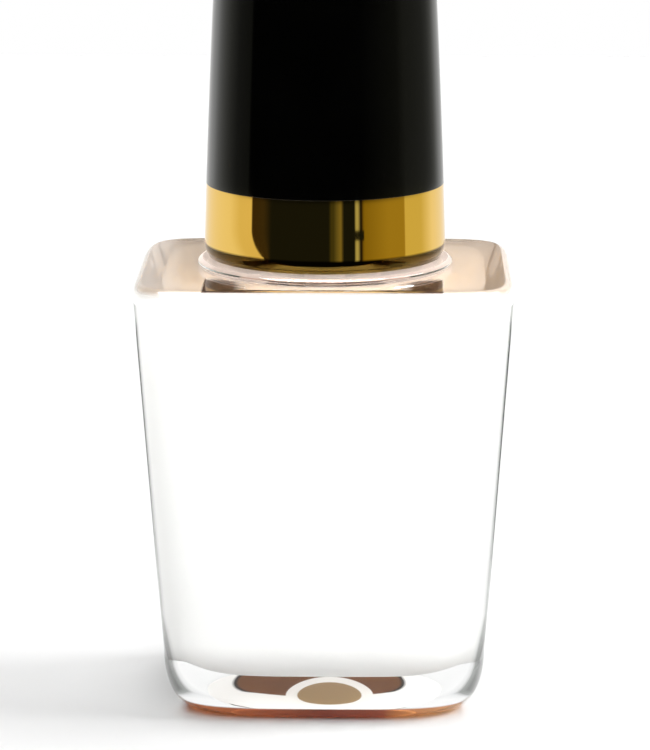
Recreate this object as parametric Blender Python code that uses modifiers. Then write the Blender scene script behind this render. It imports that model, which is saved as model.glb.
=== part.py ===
"""Nail polish bottle: glass bottle of lacquer with mixing balls and a base label, closed by a
screw cap that carries the brush. Metres, +Z up, origin at the centre of the foot, front is -Y."""

import math

import bmesh
import bpy
from mathutils import Matrix, Vector

MM = 0.001
GAP = 0.3 * MM

# Glass body: rounded rectangular sections (half width, half depth, squareness) up the bottle.
FOOT = (12.4 * MM, 9.9 * MM, 3.6)
WALL_LOW = (14.6 * MM, 12.0 * MM, 4.6)
WALL_HIGH = (16.85 * MM, 13.8 * MM, 7.0)
SHOULDER = (16.0 * MM, 13.1 * MM, 8.0)
HEEL_Z = 5.0 * MM
WALL_TOP_Z = 38.1 * MM
SHOULDER_Z = 39.5 * MM
SECTION_POINTS = 48
ARC_STEPS = 5

# Foot ring and the recess that takes the base label.
RECESS = (10.4 * MM, 8.0 * MM, 3.6)
RECESS_DEPTH = 1.1 * MM
LABEL_THICKNESS = 0.3 * MM

# Cavity of the bottle.
WALL = 2.5 * MM
CAVITY_FLOOR_Z = 3.0 * MM
CAVITY_FLOOR_ROUND = 2.6 * MM
CAVITY_TOP_Z = 38.6 * MM
CAVITY_TOP_ROUND = 1.2 * MM
DIMPLE_RADIUS = 4.2 * MM
DIMPLE_DEPTH = 0.4 * MM
DIMPLE_SLOPE = 0.5 * MM
LACQUER_TOP_Z = 38.2 * MM
WELL_MARGIN = 0.4 * MM
WELL_FLOOR_MARGIN = 0.6 * MM

# Round seat under the collar, and the neck with its bore, bead and thread.
SEAT_RADIUS = 11.45 * MM
SEAT_HEIGHT = 0.75 * MM
SEAT_ROUND = 0.5 * MM
NECK_RADIUS = 5.75 * MM
NECK_TOP_Z = 52.0 * MM
BEAD_RADIUS = 6.3 * MM
BEAD_LOW_Z = 41.3 * MM
BEAD_HIGH_Z = 42.4 * MM
BEAD_SLOPE = 0.3 * MM
BORE_RADIUS = 3.2 * MM
BORE_FLARE = 1.0 * MM
LIP_ROUND = 0.3 * MM

# Screw thread, twelve turns to the inch, right-handed.
PITCH = 25.4 / 12 * MM
THREAD_TURNS = 1.5
THREAD_STEPS = 24
THREAD_START_Z = 45.0 * MM
THREAD_CREST = 6.5 * MM
THREAD_ROOT_WIDTH = 1.0 * MM
THREAD_CREST_WIDTH = 0.5 * MM
THREAD_RUN_OUT = 4
THREAD_SUNK = 0.3 * MM

# Threaded inner cap.
INNER_BORE = 6.8 * MM
INNER_CREST = 6.05 * MM
INNER_RADIUS = 7.8 * MM
INNER_LOW_Z = 43.2 * MM
INNER_CEILING_Z = 54.7 * MM
INNER_TOP_Z = 56.0 * MM
INNER_EDGE = 0.4 * MM
RIB_RADIUS = 8.4 * MM
RIB_WIDTH = 1.0 * MM
RIB_COUNT = 8
RIB_LOW_Z = 44.0 * MM
RIB_HIGH_Z = 54.0 * MM

# Overcap: a tapered shell whose reduced lower end goes inside the collar.
CAP_TOP_Z = 88.5 * MM
CAP_STEP_Z = 47.15 * MM
CAP_LOW_Z = 41.0 * MM
CAP_STEP_RADIUS = 10.65 * MM
CAP_TAPER = 0.036
CAP_TAPER_GROWTH = 0.00042 / MM
CAP_SPIGOT_RADIUS = 9.95 * MM
CAP_WALL = 1.25 * MM
CAP_EDGE = 1.4 * MM
CAP_SIDE_STEPS = 6

# Metallised collar sleeve.
COLLAR_LOW_Z = 40.5 * MM
COLLAR_HIGH_Z = 46.95 * MM
COLLAR_LOW_RADIUS = 10.85 * MM
COLLAR_HIGH_RADIUS = 10.66 * MM
COLLAR_BORE = 10.25 * MM
COLLAR_EDGE = 0.12 * MM

# Brush: stem with its flange, snap plug and socket, bristle tuft and its staple.
PLUG_RADIUS = 2.2 * MM
PLUG_TOP_Z = 57.2 * MM
FLANGE_RADIUS = 5.2 * MM
FLANGE_HIGH_Z = 54.4 * MM
FLANGE_LOW_Z = 53.4 * MM
STEM_TOP_RADIUS = 1.95 * MM
STEM_LOW_RADIUS = 1.6 * MM
STEM_LOW_Z = 18.0 * MM
STEM_SHOULDER = 1.4 * MM
SOCKET_RADIUS = 1.2 * MM
SOCKET_TOP_Z = 24.2 * MM
TUFT_ROOT_RADIUS = 0.9 * MM
TUFT_TOP_Z = 23.2 * MM
TUFT_SPREAD_Z = 11.4 * MM
TUFT_TIP_Z = 4.6 * MM
TUFT_HALF_WIDTH = 1.95 * MM
TUFT_HALF_DEPTH = 1.4 * MM
STAPLE_SIZE = (1.5 * MM, 0.35 * MM, 0.4 * MM)

# Sealing gasket on the neck's land.
GASKET_RADIUS = 5.5 * MM
GASKET_BORE = 3.5 * MM
GASKET_THICKNESS = 0.8 * MM

# Mixing balls.
BALL_RADIUS = 2.0 * MM
BALL_SEGMENTS = 16
BALL_RINGS = 10
BALL_PLACES = [(-6.1 * MM, 3.0 * MM), (5.6 * MM, -3.2 * MM)]

ROUND_STEPS = 48
SMALL_STEPS = 24
MERGE = 0.00001
SHARP_ANGLE = math.radians(35)


def clear_scene():
    for obj in list(bpy.data.objects):
        bpy.data.objects.remove(obj, do_unlink=True)


def new_collection(name):
    collection = bpy.data.collections.new(name)
    bpy.context.scene.collection.children.link(collection)
    return collection


def make_material(name, colour, roughness, metallic=0.0, transmission=0.0):
    material = bpy.data.materials.new(name)
    material.use_nodes = True
    shader = material.node_tree.nodes["Principled BSDF"]
    shader.inputs["Base Color"].default_value = (*colour, 1.0)
    shader.inputs["Roughness"].default_value = roughness
    shader.inputs["Metallic"].default_value = metallic
    shader.inputs["Transmission Weight"].default_value = transmission
    return material


def add_object(name, mesh, collection, material=None):
    obj = bpy.data.objects.new(name, mesh)
    collection.objects.link(obj)
    if material:
        mesh.materials.append(material)
        mesh.shade_smooth()
        mesh.set_sharp_from_angle(angle=SHARP_ANGLE)
    return obj


def mark_cutter(obj):
    obj.hide_render = True
    obj.display_type = "WIRE"
    return obj


def section(half_width, half_depth, squareness, z):
    """Closed rounded-rectangle loop: a superellipse, which is an ellipse at squareness 2."""
    loop = []
    for index in range(SECTION_POINTS):
        angle = 2 * math.pi * index / SECTION_POINTS
        across = math.cos(angle)
        along = math.sin(angle)
        x = half_width * math.copysign(abs(across) ** (2 / squareness), across)
        y = half_depth * math.copysign(abs(along) ** (2 / squareness), along)
        loop.append(Vector((x, y, z)))
    return loop


def circle(radius, z):
    return section(radius, radius, 2, z)


def blend(low, high, share):
    return tuple(a + (b - a) * share for a, b in zip(low, high))


def inset(size, amount):
    return (size[0] - amount, size[1] - amount, size[2])


def wall_size(z):
    """Outer section of the glass wall at a height, on its straight taper."""
    return blend(WALL_LOW, WALL_HIGH, (z - HEEL_Z) / (WALL_TOP_Z - HEEL_Z))


def loft(name, loops, collection, material=None):
    """Closed solid through loops of equally many points, with flat ends."""
    mesh = bpy.data.meshes.new(name)
    shape = bmesh.new()
    rows = [[shape.verts.new(point) for point in loop] for loop in loops]
    count = len(loops[0])
    for low, high in zip(rows, rows[1:]):
        for index in range(count):
            after = (index + 1) % count
            shape.faces.new((low[index], low[after], high[after], high[index]))
    shape.faces.new(list(reversed(rows[0])))
    shape.faces.new(rows[-1])
    bmesh.ops.recalc_face_normals(shape, faces=shape.faces)
    shape.to_mesh(mesh)
    shape.free()
    return add_object(name, mesh, collection, material)


def turned(name, profile, collection, material, steps=ROUND_STEPS):
    """Turned solid: the (radius, z) profile starts at the top and runs down its outer side."""
    mesh = bpy.data.meshes.new(name)
    points = [(radius, 0, z) for radius, z in profile]
    edges = [(index, index + 1) for index in range(len(points) - 1)]
    if profile[0][0] > 0:
        edges.append((len(points) - 1, 0))
    mesh.from_pydata(points, edges, [])
    obj = add_object(name, mesh, collection, material)
    screw = obj.modifiers.new("Turn", "SCREW")
    screw.axis = "Z"
    screw.steps = steps
    screw.render_steps = steps
    screw.use_merge_vertices = True
    screw.merge_threshold = MERGE
    screw.use_smooth_shade = True
    return obj


def cylinder_cutter(name, radius, low_z, high_z, place, collection):
    mesh = bpy.data.meshes.new(name)
    shape = bmesh.new()
    centre = Vector((place[0], place[1], (low_z + high_z) / 2))
    bmesh.ops.create_cone(
        shape,
        cap_ends=True,
        segments=SMALL_STEPS,
        radius1=radius,
        radius2=radius,
        depth=high_z - low_z,
        matrix=Matrix.Translation(centre),
    )
    shape.to_mesh(mesh)
    shape.free()
    return mark_cutter(add_object(name, mesh, collection))


def combine(obj, tool, operation):
    modifier = obj.modifiers.new(tool.name, "BOOLEAN")
    modifier.operation = operation
    modifier.object = tool


def thread_ridge(name, sunk_radius, crest_radius, start_z, collection):
    """Helical ridge with fading ends, standing on a cylinder from just below its surface."""
    loops = []
    last = round(THREAD_TURNS * THREAD_STEPS)
    for step in range(last + 1):
        angle = 2 * math.pi * step / THREAD_STEPS
        middle = start_z + PITCH * step / THREAD_STEPS
        height = min(1.0, (min(step, last - step) + 1) / THREAD_RUN_OUT)
        crest = sunk_radius + (crest_radius - sunk_radius) * height
        corners = (
            (sunk_radius, -THREAD_ROOT_WIDTH / 2),
            (crest, -THREAD_CREST_WIDTH / 2),
            (crest, THREAD_CREST_WIDTH / 2),
            (sunk_radius, THREAD_ROOT_WIDTH / 2),
        )
        loops.append(
            [
                Vector((radius * math.cos(angle), radius * math.sin(angle), middle + rise))
                for radius, rise in corners
            ]
        )
    return mark_cutter(loft(name, loops, collection))


def arc_shares():
    """Sine and cosine along a quarter turn, both ends included."""
    angles = [math.pi / 2 * step / ARC_STEPS for step in range(ARC_STEPS + 1)]
    return [(math.sin(angle), math.cos(angle)) for angle in angles]


def outer_loops():
    """Glass outside: foot, rounded heel, tapered wall, rounded top edge and flat shoulder."""
    loops = []
    heel_top = wall_size(HEEL_Z)
    for rise, run in arc_shares():
        loops.append(section(*blend(FOOT, heel_top, rise), HEEL_Z * (1 - run)))
    for rise, run in arc_shares():
        z = WALL_TOP_Z + (SHOULDER_Z - WALL_TOP_Z) * rise
        loops.append(section(*blend(SHOULDER, WALL_HIGH, run), z))
    return loops


def neck_loops():
    """Round seat, neck, bead, lip and bore, up the outside and down the inside."""
    seat_top = SHOULDER_Z + SEAT_HEIGHT
    loops = [circle(SEAT_RADIUS, SHOULDER_Z)]
    for rise, run in arc_shares():
        loops.append(circle(SEAT_RADIUS - SEAT_ROUND * (1 - run), seat_top - SEAT_ROUND * (1 - rise)))
    loops.append(circle(NECK_RADIUS, seat_top))
    loops.append(circle(NECK_RADIUS, BEAD_LOW_Z))
    loops.append(circle(BEAD_RADIUS, BEAD_LOW_Z + BEAD_SLOPE))
    loops.append(circle(BEAD_RADIUS, BEAD_HIGH_Z - BEAD_SLOPE))
    loops.append(circle(NECK_RADIUS, BEAD_HIGH_Z))
    loops.append(circle(NECK_RADIUS, NECK_TOP_Z - LIP_ROUND))
    loops.append(circle(NECK_RADIUS - LIP_ROUND, NECK_TOP_Z))
    loops.append(circle(BORE_RADIUS + LIP_ROUND, NECK_TOP_Z))
    loops.append(circle(BORE_RADIUS, NECK_TOP_Z - LIP_ROUND))
    loops.append(circle(BORE_RADIUS, CAVITY_TOP_Z + BORE_FLARE))
    loops.append(circle(BORE_RADIUS + BORE_FLARE, CAVITY_TOP_Z))
    return loops


def cavity_loops(clearance, top_z):
    """Cavity side from its floor to its ceiling, drawn in by a clearance on every side."""
    loops = []
    floor_z = CAVITY_FLOOR_Z + clearance
    wall_low_z = floor_z + CAVITY_FLOOR_ROUND
    for rise, run in arc_shares():
        size = inset(wall_size(wall_low_z), WALL + clearance + CAVITY_FLOOR_ROUND * (1 - rise))
        loops.append(section(*size, wall_low_z - CAVITY_FLOOR_ROUND * run))
    wall_high_z = top_z - CAVITY_TOP_ROUND
    for rise, run in arc_shares():
        size = inset(wall_size(wall_high_z), WALL + clearance + CAVITY_TOP_ROUND * (1 - run))
        loops.append(section(*size, wall_high_z + CAVITY_TOP_ROUND * rise))
    return loops


def dimple_loops(clearance):
    """Small well in the middle of the cavity floor, from its bottom to its rim."""
    floor_z = CAVITY_FLOOR_Z + clearance
    radius = DIMPLE_RADIUS - clearance
    return [circle(radius - DIMPLE_SLOPE, floor_z - DIMPLE_DEPTH), circle(radius, floor_z)]


def build_bottle(parts, tools, material):
    recess = [section(*RECESS, RECESS_DEPTH), section(*RECESS, 0)]
    cavity = dimple_loops(0) + cavity_loops(0, CAVITY_TOP_Z)
    loops = recess + outer_loops() + neck_loops() + list(reversed(cavity))
    bottle = loft("glass_bottle", loops, parts, material)
    ridge = thread_ridge(
        "neck_thread_tool", NECK_RADIUS - THREAD_SUNK, THREAD_CREST, THREAD_START_Z, tools
    )
    combine(bottle, ridge, "UNION")


def build_lacquer(parts, tools, material):
    loops = dimple_loops(GAP) + cavity_loops(GAP, LACQUER_TOP_Z)
    lacquer = loft("lacquer", loops, parts, material)
    well_radius = TUFT_HALF_WIDTH + WELL_MARGIN
    well = cylinder_cutter(
        "brush_well_tool", well_radius, TUFT_TIP_Z - WELL_FLOOR_MARGIN, SHOULDER_Z, (0, 0), tools
    )
    combine(lacquer, well, "DIFFERENCE")
    ball_top = CAVITY_FLOOR_Z + GAP + 2 * BALL_RADIUS + GAP
    for number, place in enumerate(BALL_PLACES, 1):
        pocket = cylinder_cutter(
            f"ball_pocket_tool_{number}", BALL_RADIUS + GAP, CAVITY_FLOOR_Z - GAP, ball_top, place, tools
        )
        combine(lacquer, pocket, "DIFFERENCE")


def build_balls(parts, material):
    for number, place in enumerate(BALL_PLACES, 1):
        name = f"mixing_ball_{number}"
        mesh = bpy.data.meshes.new(name)
        shape = bmesh.new()
        bmesh.ops.create_uvsphere(
            shape, u_segments=BALL_SEGMENTS, v_segments=BALL_RINGS, radius=BALL_RADIUS
        )
        shape.to_mesh(mesh)
        shape.free()
        ball = add_object(name, mesh, parts, material)
        ball.location = (place[0], place[1], CAVITY_FLOOR_Z + GAP + BALL_RADIUS)


def build_label(parts, material):
    size = inset(RECESS, GAP)
    low_z = RECESS_DEPTH - GAP - LABEL_THICKNESS
    loft("base_label", [section(*size, low_z), section(*size, low_z + LABEL_THICKNESS)], parts, material)


def build_gasket(parts, material):
    low_z = NECK_TOP_Z + GAP
    high_z = low_z + GASKET_THICKNESS
    profile = [
        (GASKET_BORE, high_z),
        (GASKET_RADIUS, high_z),
        (GASKET_RADIUS, low_z),
        (GASKET_BORE, low_z),
    ]
    turned("sealing_gasket", profile, parts, material)


def build_stem(parts, material):
    profile = [
        (0, PLUG_TOP_Z),
        (PLUG_RADIUS - INNER_EDGE, PLUG_TOP_Z),
        (PLUG_RADIUS, PLUG_TOP_Z - INNER_EDGE),
        (PLUG_RADIUS, FLANGE_HIGH_Z),
        (FLANGE_RADIUS, FLANGE_HIGH_Z),
        (FLANGE_RADIUS, FLANGE_LOW_Z),
        (STEM_TOP_RADIUS + STEM_SHOULDER / 2, FLANGE_LOW_Z),
        (STEM_TOP_RADIUS, FLANGE_LOW_Z - STEM_SHOULDER),
        (STEM_LOW_RADIUS, STEM_LOW_Z),
        (SOCKET_RADIUS, STEM_LOW_Z),
        (SOCKET_RADIUS, SOCKET_TOP_Z),
        (0, SOCKET_TOP_Z),
    ]
    turned("brush_stem", profile, parts, material, SMALL_STEPS)


def build_tuft(parts, material):
    """Bristle bundle: round in the socket, spreading into a flat oval with a rounded tip."""
    loops = [circle(TUFT_ROOT_RADIUS, TUFT_TOP_Z), circle(TUFT_ROOT_RADIUS, STEM_LOW_Z)]
    tip_round = TUFT_HALF_WIDTH
    loops.append(section(TUFT_HALF_WIDTH, TUFT_HALF_DEPTH, 2, TUFT_SPREAD_Z))
    for rise, run in arc_shares()[:-1]:
        z = TUFT_TIP_Z + tip_round * (1 - rise)
        loops.append(section(TUFT_HALF_WIDTH * run, TUFT_HALF_DEPTH * run, 2, z))
    loft("bristle_tuft", loops, parts, material)


def build_staple(parts, material):
    mesh = bpy.data.meshes.new("bristle_staple")
    shape = bmesh.new()
    bmesh.ops.create_cube(shape, size=1, matrix=Matrix.Diagonal((*STAPLE_SIZE, 1)))
    shape.to_mesh(mesh)
    shape.free()
    staple = add_object("bristle_staple", mesh, parts, material)
    staple.location = (0, 0, (TUFT_TOP_Z + SOCKET_TOP_Z) / 2)


def build_inner_cap(parts, tools, material):
    plug_hole = PLUG_RADIUS + GAP
    profile = [
        (plug_hole, INNER_TOP_Z),
        (INNER_RADIUS - INNER_EDGE, INNER_TOP_Z),
        (INNER_RADIUS, INNER_TOP_Z - INNER_EDGE),
        (INNER_RADIUS, INNER_LOW_Z),
        (INNER_BORE, INNER_LOW_Z),
        (INNER_BORE, INNER_CEILING_Z),
        (plug_hole, INNER_CEILING_Z),
    ]
    cap = turned("inner_cap", profile, parts, material)
    ridge = thread_ridge(
        "cap_thread_tool", INNER_BORE + THREAD_SUNK, INNER_CREST, THREAD_START_Z + PITCH / 2, tools
    )
    combine(cap, ridge, "UNION")
    rib_length = RIB_RADIUS - INNER_RADIUS + 2 * THREAD_SUNK
    rib_middle = Vector((RIB_RADIUS - rib_length / 2, 0, (RIB_LOW_Z + RIB_HIGH_Z) / 2))
    rib_size = Matrix.Diagonal((rib_length, RIB_WIDTH, RIB_HIGH_Z - RIB_LOW_Z, 1))
    for number in range(RIB_COUNT):
        name = f"rib_tool_{number + 1}"
        mesh = bpy.data.meshes.new(name)
        shape = bmesh.new()
        turn = Matrix.Rotation(2 * math.pi * (number + 0.5) / RIB_COUNT, 4, "Z")
        bmesh.ops.create_cube(shape, size=1, matrix=turn @ Matrix.Translation(rib_middle) @ rib_size)
        shape.to_mesh(mesh)
        shape.free()
        combine(cap, mark_cutter(add_object(name, mesh, tools)), "UNION")


def cap_radius(z):
    """Outer radius of the overcap, whose taper grows a little towards its top."""
    height = z - CAP_STEP_Z
    return CAP_STEP_RADIUS - CAP_TAPER * height - CAP_TAPER_GROWTH * height * height


def build_overcap(parts, material):
    edge_z = CAP_TOP_Z - CAP_EDGE
    edge_radius = cap_radius(edge_z)
    outside = [(0, CAP_TOP_Z)]
    for rise, run in arc_shares():
        outside.append((edge_radius - CAP_EDGE * (1 - rise), edge_z + CAP_EDGE * run))
    for step in range(1, CAP_SIDE_STEPS + 1):
        z = edge_z + (CAP_STEP_Z - edge_z) * step / CAP_SIDE_STEPS
        outside.append((cap_radius(z), z))
    spigot_bore = CAP_SPIGOT_RADIUS - CAP_WALL
    ceiling_z = CAP_TOP_Z - CAP_WALL
    profile = outside + [
        (CAP_SPIGOT_RADIUS, CAP_STEP_Z),
        (CAP_SPIGOT_RADIUS, CAP_LOW_Z),
        (spigot_bore, CAP_LOW_Z),
        (spigot_bore, INNER_TOP_Z),
        (cap_radius(ceiling_z) - CAP_WALL, ceiling_z),
        (0, ceiling_z),
    ]
    turned("overcap", profile, parts, material)


def build_collar(parts, material):
    profile = [
        (COLLAR_BORE, COLLAR_HIGH_Z),
        (COLLAR_HIGH_RADIUS - COLLAR_EDGE, COLLAR_HIGH_Z),
        (COLLAR_HIGH_RADIUS, COLLAR_HIGH_Z - COLLAR_EDGE),
        (COLLAR_LOW_RADIUS, COLLAR_LOW_Z + COLLAR_EDGE),
        (COLLAR_LOW_RADIUS - COLLAR_EDGE, COLLAR_LOW_Z),
        (COLLAR_BORE, COLLAR_LOW_Z),
    ]
    turned("gold_collar", profile, parts, material)


def main():
    clear_scene()
    parts = new_collection("nail_polish_bottle")
    tools = new_collection("cutters")
    glass = make_material("clear_glass", (0.97, 0.98, 0.97), 0.02, transmission=1.0)
    lacquer = make_material("white_lacquer", (0.93, 0.92, 0.89), 0.25)
    steel = make_material("ball_steel", (0.62, 0.62, 0.63), 0.15, metallic=1.0)
    label = make_material("label_paper", (0.42, 0.17, 0.08), 0.5)
    rubber = make_material("gasket_foam", (0.86, 0.86, 0.84), 0.6)
    stem = make_material("stem_plastic", (0.85, 0.85, 0.84), 0.35)
    bristles = make_material("bristle_nylon", (0.10, 0.09, 0.08), 0.4)
    inner = make_material("inner_cap_plastic", (0.80, 0.80, 0.78), 0.4)
    black = make_material("black_gloss", (0.006, 0.006, 0.006), 0.08)
    gold = make_material("polished_gold", (0.86, 0.62, 0.20), 0.08, metallic=1.0)
    build_bottle(parts, tools, glass)
    build_lacquer(parts, tools, lacquer)
    build_balls(parts, steel)
    build_label(parts, label)
    build_gasket(parts, rubber)
    build_stem(parts, stem)
    build_tuft(parts, bristles)
    build_staple(parts, steel)
    build_inner_cap(parts, tools, inner)
    build_overcap(parts, black)
    build_collar(parts, gold)


main()
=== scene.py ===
"""Looks of the nail polish bottle: clear glass over white lacquer, a gloss black overcap with a
mirror gold collar, and the wet brush inside. Metres, in the CAD frame, front towards -Y."""

import math
import random

import bmesh
import bpy
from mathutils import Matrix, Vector


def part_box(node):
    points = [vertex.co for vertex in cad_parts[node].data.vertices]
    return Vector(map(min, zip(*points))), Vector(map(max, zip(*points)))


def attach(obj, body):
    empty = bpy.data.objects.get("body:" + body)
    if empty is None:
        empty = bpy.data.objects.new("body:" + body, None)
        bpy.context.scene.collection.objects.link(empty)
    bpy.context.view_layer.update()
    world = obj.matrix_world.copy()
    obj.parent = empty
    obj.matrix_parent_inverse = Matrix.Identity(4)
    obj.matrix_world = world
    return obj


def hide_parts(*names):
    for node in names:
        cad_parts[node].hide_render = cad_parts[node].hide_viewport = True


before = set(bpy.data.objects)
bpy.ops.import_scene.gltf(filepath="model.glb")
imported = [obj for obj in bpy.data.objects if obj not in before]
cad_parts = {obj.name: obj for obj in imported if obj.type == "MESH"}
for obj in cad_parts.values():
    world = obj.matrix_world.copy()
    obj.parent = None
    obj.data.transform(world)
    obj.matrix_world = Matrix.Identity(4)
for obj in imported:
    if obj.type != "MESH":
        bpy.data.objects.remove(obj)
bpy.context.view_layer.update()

MM = 0.001
TAU = 2 * math.pi

# Heights and half sizes that the frame gives.
glass_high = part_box("glass_bottle")[1]
label_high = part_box("base_label")[1]
stem_low, stem_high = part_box("brush_stem")
tuft_low, tuft_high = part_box("bristle_tuft")
cap_low, cap_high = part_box("overcap")
collar_low, collar_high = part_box("gold_collar")
inner_low, inner_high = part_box("inner_cap")

# Fineness of the meshes.
RING_POINTS = 256
ARC_STEPS = 10
FINE_ARC_STEPS = 20
WALL_STEP = 2.0 * MM
HOLDING_MIN_LEG = 4
HOLDING_DISTANCE = 1.5
SHARP_ANGLE = math.radians(50)
TURNED_SHARP_ANGLE = math.radians(40)
SAME = 0.001 * MM

# Outer glass: section sizes are (half width, half depth, squareness).
WALL_HIGH = (glass_high.x, glass_high.y, 7.0)
SHOULDER = (glass_high.x - 0.85 * MM, glass_high.y - 0.7 * MM, 8.0)
WALL_LOW = (glass_high.x - 2.25 * MM, glass_high.y - 1.8 * MM, 4.6)
FOOT = (glass_high.x - 4.45 * MM, glass_high.y - 3.9 * MM, 3.6)
SHOULDER_Z = 39.5 * MM
WALL_TOP_Z = 38.1 * MM
HEEL_Z = 5.0 * MM
SEAT_RADIUS = 11.45 * MM
SEAT_HEIGHT = 0.75 * MM
SEAT_ROUND = 0.4 * MM
SEAT_TUCK = 0.3 * MM
NECK_RADIUS = 5.75 * MM
BEAD_RADIUS = 6.3 * MM
BEAD_Z = (41.3 * MM, 42.4 * MM)
BORE_RADIUS = 3.2 * MM

# Recess under the foot, and the film in it.
RECESS = (label_high.x + 0.3 * MM, label_high.y + 0.3 * MM, 3.6)
RECESS_Z = label_high.z + 0.3 * MM
LABEL_THICKNESS = 0.3 * MM
LABEL_LOW_Z = 0.1 * MM

# Cavity and lacquer.
WALL = 2.5 * MM
FLOOR_Z = 3.45 * MM
FLOOR_ROUND = 3.3 * MM
CEILING_Z = 38.6 * MM
CEILING_ROUND = 1.2 * MM
DIMPLE_RADIUS = 4.2 * MM
DIMPLE_DEPTH = 0.4 * MM
DIMPLE_CURVE = [(0.4, 1.0), (0.75, 0.9), (0.92, 0.6), (1.0, 0.2), (1.05, 0.0)]
WETTING = 0.02 * MM
WELL_RADIUS = 2.35 * MM
WELL_FLOOR_Z = tuft_low.z - 0.6 * MM

# Screw thread on the neck.
PITCH = 25.4 / 12 * MM
THREAD_Z = 45.0 * MM
THREAD_TURNS = 1.5
THREAD_HEIGHT = 0.75 * MM
THREAD_ROOT = 0.5 * MM
THREAD_CREST = 0.25 * MM
THREAD_FADE = 0.15
THREAD_RING_STEP = 0.14 * MM

# Overcap: its side's radius falls with the height above the collar, and faster towards the top.
CAP_BASE_RADIUS = 10.65 * MM
CAP_TAPER = 0.036
CAP_CURVATURE = 0.42
CAP_STEP = 0.06 * MM
CAP_WALL = 1.25 * MM
CAP_SIDE_STEPS = 8
CAP_SIDE_END = 1.4 * MM
CAP_TOP_ROUND = 1.3 * MM
CAP_TOP_DROP = 0.12 * MM
CROWN_SHARE = 0.6
CROWN_DROP = 0.03 * MM
SPIGOT_RADIUS = 9.95 * MM

# Collar.
COLLAR_BORE = 10.25 * MM
COLLAR_OVERLAP = 0.1 * MM
COLLAR_TOP_INSET = 0.22 * MM
COLLAR_TAPER = 0.19 * MM
CURL_HEIGHT = 1.3 * MM
CURL_DEPTH = 0.34 * MM
CURL_STEPS = 12

# Inner cap and gasket.
INNER_RADIUS = 7.8 * MM
INNER_BORE = 6.8 * MM
INNER_CEILING_Z = 54.7 * MM
INNER_EDGE = 0.3 * MM
PLUG_HOLE_RADIUS = 2.5 * MM
RIB_STEP = TAU / 8
RIB_WIDTH = 0.9 * MM
RIB_HEIGHT = 0.6 * MM
RIB_EASE = 0.25 * MM
RIB_LOW_Z = 44.0 * MM
RIB_HIGH_Z = 54.0 * MM
GASKET_BORE = 3.5 * MM
GASKET_BULGE = 0.05 * MM

# Mixing balls.
BALL_RINGS = 48
BALL_EASE = 0.1 * MM

# Brush stem.
PLUG_RADIUS = 2.2 * MM
FLANGE_RADIUS = 5.2 * MM
FLANGE_Z = 54.4 * MM
FLANGE_THICKNESS = 1.0 * MM
STEM_ROOT_RADIUS = 2.65 * MM
STEM_ROOT_HEIGHT = 2.4 * MM
STEM_HIGH_RADIUS = 1.95 * MM
STEM_LOW_RADIUS = 1.6 * MM
SOCKET_RADIUS = 1.2 * MM
SOCKET_SPARE = 1.0 * MM

# Tuft and its anchor.
STAPLE_EDGE = 0.08 * MM
STAPLE_FACE_INSET = 0.12 * MM
STAPLE_SQUARENESS = 8.0
TUFT_ROOT = 0.9 * MM
TUFT_SPREAD_Z = 11.4 * MM
TUFT_DOME = 2.6 * MM
TIP_STAGGER = 0.8 * MM
TIP_NARROWING = (0.12, 0.2)
FILAMENTS = 170
FILAMENT_RADIUS = 0.06 * MM
FILAMENT_SIDES = 6
FILAMENT_STEPS = 12
FILAMENT_LEAN = 0.06
FILAMENT_TIP_SHARE = 0.4
FILAMENT_SEED = 7
GOLDEN_ANGLE = math.pi * (3 - math.sqrt(5))

# Noise that every grained surface shares, and the part of its values that colours span.
NOISE_DETAIL = 3.0
NOISE_ROUGHNESS = 0.5
NOISE_LOW = 0.3
NOISE_HIGH = 0.7
FINE_GRAIN = 3
GRAIN_DEPTH = 0.05 * MM

# Colours at the outside of the glass: warm tints, painted shade and a painted refraction. Light takes a
# tint's square root at each surface.
GLASS_IOR = 1.5
# Painted shade where the upright faces are seen edge-on.
GLASS_EDGE_SHADE = [
    (0.66, (0.99, 0.995, 0.99)),
    (0.76, (0.7, 0.71, 0.71)),
    (0.84, (0.14, 0.15, 0.14)),
    (1.0, (0.03, 0.032, 0.03)),
]
UPRIGHT_SLOPES = (0.35, 0.75)
LEVEL_SLOPES = (0.15, 0.6)
# More painted shade near the heel.
HEEL_SHADE = 0.48
HEEL_SHADE_Z = (1.5 * MM, 9 * MM)
EDGE_END_FADE = 0.4 * MM
SHOULDER_CAST = (0.77, 0.605, 0.47)
SHOULDER_CLOUD = 0.6
SHOULDER_CAST_Z = (SHOULDER_Z - 1.3 * MM, SHOULDER_Z - 0.9 * MM)
FLAT_TOP_Z = (SHOULDER_Z + 0.02 * MM, SHOULDER_Z + 0.06 * MM)
SEAT_CAST = (0.95, 0.64, 0.5)
SEAT_CAST_Z = (SHOULDER_Z + SEAT_HEIGHT, SHOULDER_Z + SEAT_HEIGHT + 0.1 * MM)
SEAT_CAST_REACH = (SEAT_RADIUS + 0.1 * MM, SEAT_RADIUS + 0.15 * MM)
# Painted shade and reflection: the collar's dark in wedges before the seat's sides, and a dark line along
# the shoulder's front edge.
WEDGE_SHADE = (0.035, 0.012, 0.005)
WEDGE_X = (7.8 * MM, 10.6 * MM)
WEDGE_Y = 6.7 * MM
WEDGE_FADE = 1.5 * MM
WEDGE_END_FADE = 0.2 * MM
WEDGE_REACH = (SEAT_RADIUS + 0.15 * MM, SEAT_RADIUS + 0.3 * MM)
LINE_Y = 12.4 * MM
LINE_FADE = 0.15 * MM
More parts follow.
